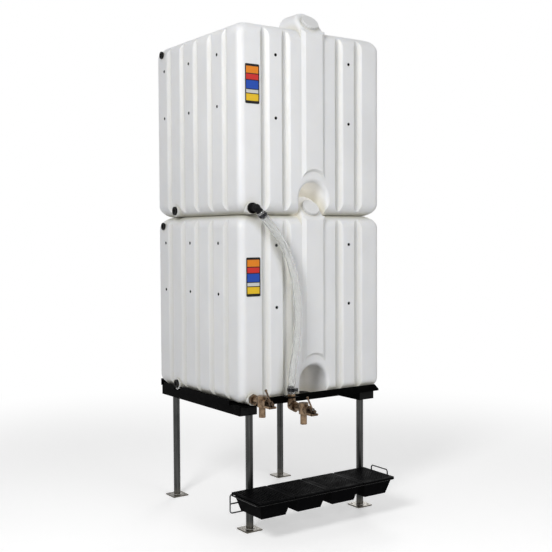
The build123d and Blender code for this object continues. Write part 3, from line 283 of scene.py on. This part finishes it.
# %% Satin black plastic
def fitting_finish():
    fitting = Finish("black_plastic", Specular_IOR_Level=0.06)
    mottle = fitting.noise(120.0)
    fitting.feed("Base Color", fitting.mix(mottle, (0.004, 0.004, 0.004), (0.012, 0.012, 0.012)))
    fitting.feed("Roughness", fitting.between(fitting.noise(260.0), 0.3, 0.7, 0.32, 0.5))
    fitting.bump((fitting.cells(1400.0), 0.12, 0.0002))
    return fitting


black_plastic = fitting_finish()
dress(black_plastic, "left_inserts", "right_inserts", "front_inserts", "drain_plugs", "vent_plugs",
      "outlet_bulkhead", "hose_elbow", "rail_end_plugs")


# %% [markdown]
# ## Brass
# The faucets are cast and then turned, and they have gone dull and brown with handling. Recesses hold the
# darkest tarnish and painted shade, so the corner term picks between two browns, and a fine noise gives the
# casting its grain.

# %% Tarnished brass
def brass_finish(name, bright, dull):
    brass = Finish(name, Metallic=1.0)
    tarnish = brass.between(brass.noise(55.0, 6.0), 0.35, 0.7, 0.0, 1.0)
    colour = brass.mix(tarnish, bright, dull)
    # Tarnish and painted shade: recesses go nearly black.
    open_sky = brass.between(brass.corners(0.03), 0.35, 0.95, 0.0, 1.0)
    colour = brass.mix(open_sky, (0.012, 0.008, 0.006), colour)
    brass.feed("Base Color", colour)
    brass.feed("Roughness", brass.between(brass.noise(110.0, 5.0), 0.3, 0.7, 0.24, 0.45))
    brass.bump((brass.noise(600.0, 3.0), 0.18, 0.0004))
    return brass


faucet_brass = brass_finish("faucet_brass", (0.30, 0.21, 0.135), (0.12, 0.078, 0.05))
handled_brass = brass_finish("handled_brass", (0.11, 0.075, 0.05), (0.04, 0.027, 0.02))
FAUCETS = ("first", "second")
dress(faucet_brass, "hose_nipple", "feed_elbow",
      *[f"{faucet}_faucet_{piece}" for faucet in FAUCETS for piece in ("body", "bonnet")])
dress(handled_brass,
      *[f"{faucet}_faucet_{piece}" for faucet in FAUCETS for piece in ("stem", "lever", "pin")])


# %% [markdown]
# ## Wire and clamps
# The rack and the springs are drawn steel wire, and the hose clamps are darker strip. Drawn wire is smoother
# than pipe, and it is darker where oil has run. Painted shade darkens it where two wires meet and in other
# corners, and below the trays' rims the tray frame is painted nearly black as shade.

# %% Oiled wire and strip
SHADE_EDGE = 0.005
CLEAN_WIRE = (0.16, 0.162, 0.165)
OILED_WIRE = (0.07, 0.071, 0.073)


def wire_finish(name, clean, oiled, shaded_to=0.0):
    """Drawn wire, painted nearly black as shade up to a height above the floor."""
    wire = Finish(name, Metallic=1.0)
    smear = wire.between(wire.noise(45.0, 5.0), 0.35, 0.7, 0.0, 1.0)
    colour = wire.mix(smear, clean, oiled)
    if shaded_to:
        # Painted shade: below the given height the wire goes nearly black.
        above = wire.between(wire.along("Z"), shaded_to - SHADE_EDGE, shaded_to + SHADE_EDGE, 0.0, 1.0)
        colour = wire.mix(above, (0.004, 0.004, 0.004), colour)
    # Painted shade: darker where wires meet and in other corners.
    open_sky = wire.between(wire.corners(0.03), 0.45, 0.9, 0.0, 1.0)
    colour = wire.mix(open_sky, (0.006, 0.006, 0.006), colour)
    wire.feed("Base Color", colour)
    wire.feed("Roughness", wire.between(wire.noise(220.0, 4.0), 0.3, 0.7, 0.18, 0.36))
    wire.bump((wire.noise(1100.0), 0.06, 0.0002))
    return wire


bright_steel = wire_finish("bright_steel", CLEAN_WIRE, OILED_WIRE)
dark_strip = wire_finish("dark_strip", (0.05, 0.05, 0.055), (0.02, 0.02, 0.023))
rim_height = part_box("drip_tray_4")[1].z
shaded_wire = wire_finish("shaded_wire", CLEAN_WIRE, OILED_WIRE, shaded_to=rim_height)
dress(shaded_wire, "tray_frame")
dress(bright_steel, "rack_fence", "rack_clamps", *[f"{faucet}_faucet_spring" for faucet in FAUCETS])
dress(dark_strip, "upper_hose_clamp", "lower_hose_clamp")


# %% [markdown]
# ## Drip trays
# The trays and their grates are black moulded plastic with a fine leather-like grain. Splashes leave some
# patches a little shinier than others.

# %% Grained tray plastic
def tray_finish():
    tray = Finish("tray_plastic", Specular_IOR_Level=0.004)
    mottle = tray.noise(25.0, 5.0)
    tray.feed("Base Color", tray.mix(mottle, (0.0018, 0.0018, 0.002), (0.005, 0.005, 0.0056)))
    tray.feed("Roughness", tray.between(tray.noise(18.0, 5.0), 0.35, 0.7, 0.34, 0.55))
    tray.bump((tray.cells(650.0), 0.25, 0.0005), (tray.noise(9.0), 0.1, 0.002))
    return tray


tray_plastic = tray_finish()
TRAYS = range(1, 5)
dress(tray_plastic, *[f"{piece}_{index}" for piece in ("drip_tray", "tray_grate") for index in TRAYS])

# %% [markdown]
# ## The clear hose
# One inch vinyl hose runs from the upper outlet down to the second faucet. It is a fixed length of something
# flexible, so its line is a smooth NURBS curve through given control points. A plain bevelled curve has
# only an outside. Clear hose shows its bore, so the curve becomes a mesh and Solidify gives it a real wall.

# %% The hose's line
HOSE_PLANE_Y = -0.431
HOSE_ROUTE_XZ = [
    (-0.318, 1.396),
    (-0.240, 1.318),
    (-0.184, 1.2392),
    (-0.146, 1.1476),
    (-0.124, 1.0458),
    (-0.117, 0.9248),
    (-0.128, 0.7998),
    (-0.157, 0.6716),
    (-0.157, 0.600),
]
HOSE_DIAMETER = 0.034
HOSE_WALL = 0.0043
HOSE_SIDES = 10
HOSE_STEPS = 14


def hose_curve(name, bevel):
    curve = bpy.data.curves.new(name, "CURVE")
    curve.dimensions = "3D"
    spline = curve.splines.new("NURBS")
    spline.points.add(len(HOSE_ROUTE_XZ) - 1)
    for point, (x, z) in zip(spline.points, HOSE_ROUTE_XZ):
        point.co = (x, HOSE_PLANE_Y, z, 1.0)
    spline.order_u = 3
    spline.use_endpoint_u = True
    spline.resolution_u = HOSE_STEPS
    curve.bevel_depth = bevel
    curve.bevel_resolution = HOSE_SIDES
    return bpy.data.objects.new(name, curve)


def mesh_of(thing):
    """Plain mesh of an object as it is evaluated, modifiers included."""
    bpy.context.scene.collection.objects.link(thing)
    view = bpy.context.evaluated_depsgraph_get()
    mesh = bpy.data.meshes.new_from_object(thing.evaluated_get(view))
    bpy.context.scene.collection.objects.unlink(thing)
    return mesh


hose_line = [vertex.co.copy() for vertex in mesh_of(hose_curve("hose_line", 0.0)).vertices]


# %% [markdown]
# The vinyl is neither glass nor plain white: it passes most light, scatters the rest, and has gone slightly
# milky. A strong transmission over a pale base gives that, with long soft streaks left by the extruder.

# %% Vinyl and the hose's wall
def vinyl_finish():
    vinyl = Finish("clear_vinyl", Transmission_Weight=0.85, IOR=1.36)
    streaks = vinyl.noise(120.0, 3.0, stretch=(1.0, 1.0, 0.05))
    vinyl.feed("Base Color", vinyl.mix(streaks, (0.88, 0.885, 0.88), (0.91, 0.915, 0.91)))
    vinyl.feed("Roughness", vinyl.between(streaks, 0.3, 0.7, 0.05, 0.09))
    vinyl.bump((streaks, 0.01, 0.0002))
    return vinyl


def add_piece(name, mesh, body="station"):
    """Links a finished mesh as a piece that rides on a body."""
    piece = bpy.data.objects.new(name, mesh)
    bpy.context.scene.collection.objects.link(piece)
    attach(piece, body)
    print(name, len(mesh.polygons), "faces")
    return piece


tube = bpy.data.objects.new("hose_tube", mesh_of(hose_curve("hose_bevel", HOSE_DIAMETER / 2)))
wall = tube.modifiers.new("wall", "SOLIDIFY")
wall.thickness = HOSE_WALL
wall.offset = -1.0
hose_mesh = mesh_of(tube)
hose_mesh.materials.clear()
hose_mesh.materials.append(vinyl_finish().material)
hose_mesh.shade_smooth()
hose = add_piece("clear_hose", hose_mesh)
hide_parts("feed_hose")

# %% [markdown]
# ## Colour cards
# Each tank carries a colour-coded card on its front, with bands of colour on black film. The bands follow the
# card's own UV map, which runs from 0 to 1 up its height, so both cards can share one finish.

# %% Card film
CARD_BANDS = [
    (0.00, (0.010, 0.010, 0.010)),
    (0.07, (0.80, 0.52, 0.03)),
    (0.24, (0.010, 0.010, 0.010)),
    (0.265, (0.62, 0.62, 0.60)),
    (0.35, (0.010, 0.010, 0.010)),
    (0.375, (0.02, 0.075, 0.42)),
    (0.58, (0.010, 0.010, 0.010)),
    (0.605, (0.60, 0.035, 0.03)),
    (0.74, (0.010, 0.010, 0.010)),
    (0.765, (0.78, 0.24, 0.02)),
    (0.94, (0.010, 0.010, 0.010)),
]
CARD_MARGIN = 0.07


def card_finish():
    card = Finish("label_film", Specular_IOR_Level=0.15)
    uv = card.add("ShaderNodeUVMap", uv_map="card").outputs["UV"]
    split = card.add("ShaderNodeSeparateXYZ", {"Vector": uv})
    ramp = card.add("ShaderNodeValToRGB", {"Fac": split.outputs["Y"]})
    ramp.color_ramp.interpolation = "CONSTANT"
    stops = ramp.color_ramp.elements
    while len(stops) < len(CARD_BANDS):
        stops.new(1.0)
    for stop, (start, colour) in zip(stops, CARD_BANDS):
        stop.position = start
        stop.color = (*colour, 1.0)
    from_middle = card.math("ABSOLUTE", card.math("SUBTRACT", split.outputs["X"], 0.5), 0.0)
    margin = card.math("GREATER_THAN", from_middle, 0.5 - CARD_MARGIN)
    card.feed("Base Color", card.mix(margin, ramp.outputs["Color"], (0.010, 0.010, 0.010)))
    card.feed("Roughness", card.between(card.noise(150.0, 4.0), 0.3, 0.7, 0.3, 0.46))
    card.bump((card.noise(60.0, 3.0), 0.08, 0.0006))
    return card


# %% Card sheets
CARD_CORNER = 0.006
CARD_CORNER_STEPS = 5
SAME_POINT = 1e-6


def solid_boxes(name):
    """Corners of each separate solid of a CAD node, lowest first."""
    scan = bmesh.new()
    scan.from_mesh(nodes[name].data)
    bmesh.ops.remove_doubles(scan, verts=scan.verts, dist=SAME_POINT)
    boxes = []
    left = set(scan.verts)
    while left:
        group = [left.pop()]
        for vertex in group:
            for edge in vertex.link_edges:
                other = edge.other_vert(vertex)
                if other in left:
                    left.remove(other)
                    group.append(other)
        low = Vector([min(vertex.co[axis] for vertex in group) for axis in range(3)])
        high = Vector([max(vertex.co[axis] for vertex in group) for axis in range(3)])
        boxes.append((low, high))
    scan.free()
    return sorted(boxes, key=lambda box: box[0].z)


def card_outline(low, high):
    """Rounded rectangle in X and Z."""
    points = []
    for turn, (x, z) in enumerate(((high.x, high.z), (low.x, high.z), (low.x, low.z), (high.x, low.z))):
        centre_x = x - CARD_CORNER if x == high.x else x + CARD_CORNER
        centre_z = z - CARD_CORNER if z == high.z else z + CARD_CORNER
        for step in range(CARD_CORNER_STEPS + 1):
            angle = math.pi / 2 * (turn + step / CARD_CORNER_STEPS)
            across, up = CARD_CORNER * math.cos(angle), CARD_CORNER * math.sin(angle)
            points.append((centre_x + across, centre_z + up))
    return points


def card_sheets():
    """Both cards in one mesh, each a rounded sheet with its own UV map."""
    sheet = bmesh.new()
    uv = sheet.loops.layers.uv.new("card")
    for low, high in solid_boxes("label_cards"):
        outline = card_outline(low, high)
        front = [sheet.verts.new((x, low.y, z)) for x, z in outline]
        back = [sheet.verts.new((x, high.y, z)) for x, z in outline]
        sheet.faces.new(front[::-1])
        sheet.faces.new(back)
        for index in range(len(outline)):
            after = (index + 1) % len(outline)
            sheet.faces.new((front[index], front[after], back[after], back[index]))
        for face in sheet.faces:
            for loop in face.loops:
                if low.z - SAME_POINT <= loop.vert.co.z <= high.z + SAME_POINT:
                    across = (loop.vert.co.x - low.x) / (high.x - low.x)
                    loop[uv].uv = (across, (loop.vert.co.z - low.z) / (high.z - low.z))
    bmesh.ops.recalc_face_normals(sheet, faces=sheet.faces)
    mesh = bpy.data.meshes.new("colour_cards")
    sheet.to_mesh(mesh)
    sheet.free()
    mesh.materials.append(card_finish().material)
    return mesh


cards = add_piece("colour_cards", card_sheets())
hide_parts("label_cards")

# %% [markdown]
# ## Weld beads
# Each leg is welded to its base plate and under its rail. A weld is a row of overlapping ripples round the
# pipe. That is a shape that repeats along a path, so a node tree makes it: a circle becomes points, a
# flattened ball stands on each point, and the ring is then set on every place in a small cloud of points.

# %% Weld ring node tree
def weld_tree(material):
    tree = bpy.data.node_groups.new("weld_rings", "GeometryNodeTree")
    face = tree.interface
    face.new_socket("Geometry", in_out="INPUT", socket_type="NodeSocketGeometry")
    sizes = {"Ring Radius": 0.018, "Bead Radius": 0.004, "Bead Height": 0.5}
    for name, value in sizes.items():
        face.new_socket(name, in_out="INPUT", socket_type="NodeSocketFloat").default_value = value
    face.new_socket("Beads", in_out="INPUT", socket_type="NodeSocketInt").default_value = 34
    face.new_socket("Geometry", in_out="OUTPUT", socket_type="NodeSocketGeometry")
    add, link = tree.nodes.new, tree.links.new
    given = add("NodeGroupInput")
    ring = add("GeometryNodeCurvePrimitiveCircle")
    link(given.outputs["Ring Radius"], ring.inputs["Radius"])
    spots = add("GeometryNodeCurveToPoints")
    link(ring.outputs["Curve"], spots.inputs["Curve"])
    link(given.outputs["Beads"], spots.inputs["Count"])
    ball = add("GeometryNodeMeshIcoSphere")
    ball.inputs["Subdivisions"].default_value = 2
    link(given.outputs["Bead Radius"], ball.inputs["Radius"])
    flat = add("ShaderNodeCombineXYZ")
    flat.inputs["X"].default_value = 1.0
    flat.inputs["Y"].default_value = 1.0
    link(given.outputs["Bead Height"], flat.inputs["Z"])
    beads = add("GeometryNodeInstanceOnPoints")
    link(spots.outputs["Points"], beads.inputs["Points"])
    link(ball.outputs["Mesh"], beads.inputs["Instance"])
    link(flat.outputs["Vector"], beads.inputs["Scale"])
    rings = add("GeometryNodeInstanceOnPoints")
    link(given.outputs["Geometry"], rings.inputs["Points"])
    link(beads.outputs["Instances"], rings.inputs["Instance"])
    real = add("GeometryNodeRealizeInstances")
    link(rings.outputs["Instances"], real.inputs["Geometry"])
    paint = add("GeometryNodeSetMaterial")
    paint.inputs["Material"].default_value = material
    link(real.outputs["Geometry"], paint.inputs["Geometry"])
    result = add("NodeGroupOutput")
    link(paint.outputs["Geometry"], result.inputs["Geometry"])
    return tree


# %% Weld beads on the legs
WELD_PROUD = 0.001


def weld_finish():
    weld = Finish("weld_steel", Metallic=1.0)
    weld.feed("Base Color", weld.mix(weld.noise(150.0), (0.18, 0.17, 0.155), (0.46, 0.45, 0.43)))
    weld.feed("Roughness", weld.between(weld.noise(300.0), 0.3, 0.7, 0.25, 0.45))
    weld.bump((weld.noise(800.0), 0.2, 0.0003))
    return weld


def grown(name, places, tree, **inputs):
    """Runs a node tree on a cloud of points and returns the plain mesh."""
    cloud = bpy.data.meshes.new(name)
    cloud.from_pydata(places, [], [])
    holder = bpy.data.objects.new(name, cloud)
    modifier = holder.modifiers.new(name, "NODES")
    modifier.node_group = tree
    for item in tree.interface.items_tree:
        if item.item_type == "SOCKET" and item.in_out == "INPUT" and item.name in inputs:
            modifier[item.identifier] = inputs[item.name]
    return mesh_of(holder)


def weld_places():
    """Foot of every leg on its plate, and the leg's entry into its rail."""
    places = []
    for corner in CORNER_NAMES:
        low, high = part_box(f"leg_{corner}")
        x, y = (low.x + high.x) / 2, (low.y + high.y) / 2
        rail_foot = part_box(f"side_rail_{corner.split('_')[1]}")[0].z
        places += [(x, y, low.z), (x, y, rail_foot)]
    return places


leg_low, leg_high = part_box("leg_front_left")
weld_mesh = grown("leg_welds", weld_places(), weld_tree(weld_finish().material),
                  **{"Ring Radius": (leg_high.x - leg_low.x) / 2 + WELD_PROUD})
weld_mesh.shade_smooth()
add_piece("leg_welds", weld_mesh)

# %% [markdown]
# ## Floor, light and camera
# The floor is pale and plain. Seen directly it adds a little light of its own, so that it stays near white
# and still keeps the shadows under the plates and trays, and further out it fades into the white backdrop.
# One large lamp stands high on the left, where the upper tank is brightest, and a broader one in front lights
# the column and the faucets. A weaker lamp at the back right keeps the far sides from going dark.

# %% Floor
FLOOR_HALF = 14.0
FLOOR_GREY = (0.80, 0.80, 0.80, 1.0)
FLOOR_LIFT = 0.42
FADE_START = 1.3
FADE_END = 3.6


def floor_material():
    material = bpy.data.materials.new("studio_floor")
    material.use_nodes = True
    tree = material.node_tree
    tree.nodes.clear()
    add, link = tree.nodes.new, tree.links.new
    seen = camera_or_mirror(tree)
    plain = add("ShaderNodeBsdfDiffuse")
    plain.inputs["Color"].default_value = FLOOR_GREY
    lift = add("ShaderNodeEmission")
    link(scaled(tree, seen, FLOOR_LIFT), lift.inputs["Strength"])
    near = add("ShaderNodeAddShader")
    link(plain.outputs["BSDF"], near.inputs[0])
    link(lift.outputs["Emission"], near.inputs[1])
    far = add("ShaderNodeEmission")
    link(seen, far.inputs["Strength"])
    coords = add("ShaderNodeTexCoord")
    length = add("ShaderNodeVectorMath")
    length.operation = "LENGTH"
    link(coords.outputs["Object"], length.inputs[0])
    fade = add("ShaderNodeMapRange")
    fade.interpolation_type = "SMOOTHSTEP"
    fade.inputs["From Min"].default_value = FADE_START
    fade.inputs["From Max"].default_value = FADE_END
    link(length.outputs["Value"], fade.inputs["Value"])
    both = add("ShaderNodeMixShader")
    link(fade.outputs["Result"], both.inputs["Fac"])
    link(near.outputs["Shader"], both.inputs[1])
    link(far.outputs["Emission"], both.inputs[2])
    out = add("ShaderNodeOutputMaterial")
    link(both.outputs["Shader"], out.inputs["Surface"])
    return material


def camera_or_mirror(tree):
    """1 for rays from the camera and those that metal or glass sends on, 0 for soft light."""
    path = tree.nodes.new("ShaderNodeLightPath")
    total = path.outputs["Is Camera Ray"]
    for ray in ("Is Glossy Ray", "Is Transmission Ray"):
        join = tree.nodes.new("ShaderNodeMath")
        join.operation = "MAXIMUM"
        tree.links.new(total, join.inputs[0])
        tree.links.new(path.outputs[ray], join.inputs[1])
        total = join.outputs["Value"]
    return total


def scaled(tree, value, share):
    product = tree.nodes.new("ShaderNodeMath")
    product.operation = "MULTIPLY"
    product.inputs[1].default_value = share
    tree.links.new(value, product.inputs[0])
    return product.outputs["Value"]


floor_mesh = bpy.data.meshes.new("studio_floor")
corner_points = [(x * FLOOR_HALF, y * FLOOR_HALF, 0.0) for x, y in ((-1, -1), (1, -1), (1, 1), (-1, 1))]
floor_mesh.from_pydata(corner_points, [], [(0, 1, 2, 3)])
floor_mesh.materials.append(floor_material())
floor = bpy.data.objects.new("studio_floor", floor_mesh)
bpy.context.scene.collection.objects.link(floor)
print("floor", 2 * FLOOR_HALF, "m across")

# %% Backdrop and lamps
SOFT_LIGHT = 0.24


def set_world():
    world = bpy.data.worlds.new("studio")
    bpy.context.scene.world = world
    world.use_nodes = True
    tree = world.node_tree
    sky = tree.nodes["Background"]
    seen = camera_or_mirror(tree)
    strength = tree.nodes.new("ShaderNodeMapRange")
    strength.inputs["To Min"].default_value = SOFT_LIGHT
    strength.inputs["To Max"].default_value = 1.0
    tree.links.new(seen, strength.inputs["Value"])
    sky.inputs["Color"].default_value = (1.0, 1.0, 1.0, 1.0)
    tree.links.new(strength.outputs["Result"], sky.inputs["Strength"])


def area_lamp(name, place, aim, size, watts):
    lamp = bpy.data.lights.new(name, "AREA")
    lamp.shape = "DISK"
    lamp.size = size
    lamp.energy = watts
    holder = bpy.data.objects.new(name, lamp)
    holder.location = place
    holder.rotation_euler = (Vector(aim) - Vector(place)).to_track_quat("-Z", "Y").to_euler()
    bpy.context.scene.collection.objects.link(holder)
    print(name, watts, "W")


set_world()
area_lamp("key_lamp", (-3.2, -2.1, 2.9), (-0.2, -0.1, 2.0), 1.2, 98.0)
area_lamp("front_lamp", (0.4, -4.1, 2.0), (0.0, 0.0, 1.8), 2.0, 48.0)
area_lamp("back_lamp", (3.2, 3.4, 2.8), (0.1, 0.1, 1.5), 2.0, 55.0)

# %% [markdown]
# The camera stands in front and to the left, a little below the joint of the two tanks. It is turned to the
# right and looks down by a couple of degrees.

# %% Camera
EYE = (-2.4614, -3.6429, 1.2879)
YAW = math.radians(34.72)
DIP = math.radians(2.47)
ROLL = math.radians(-0.29)
LENS = 59.13
SENSOR = 36.0
FAR_CLIP = 100.0


def set_camera():
    camera = bpy.data.cameras.new("photo_camera")
    camera.lens = LENS
    camera.sensor_width = SENSOR
    camera.clip_end = FAR_CLIP
    holder = bpy.data.objects.new("photo_camera", camera)
    level = Matrix.Rotation(-YAW, 4, "Z") @ Matrix.Rotation(math.pi / 2 - DIP, 4, "X")
    holder.matrix_world = Matrix.Translation(EYE) @ level @ Matrix.Rotation(ROLL, 4, "Z")
    bpy.context.scene.collection.objects.link(holder)
    bpy.context.scene.camera = holder


set_camera()
bpy.context.scene.view_settings.view_transform = "Standard"
print("camera at", EYE)
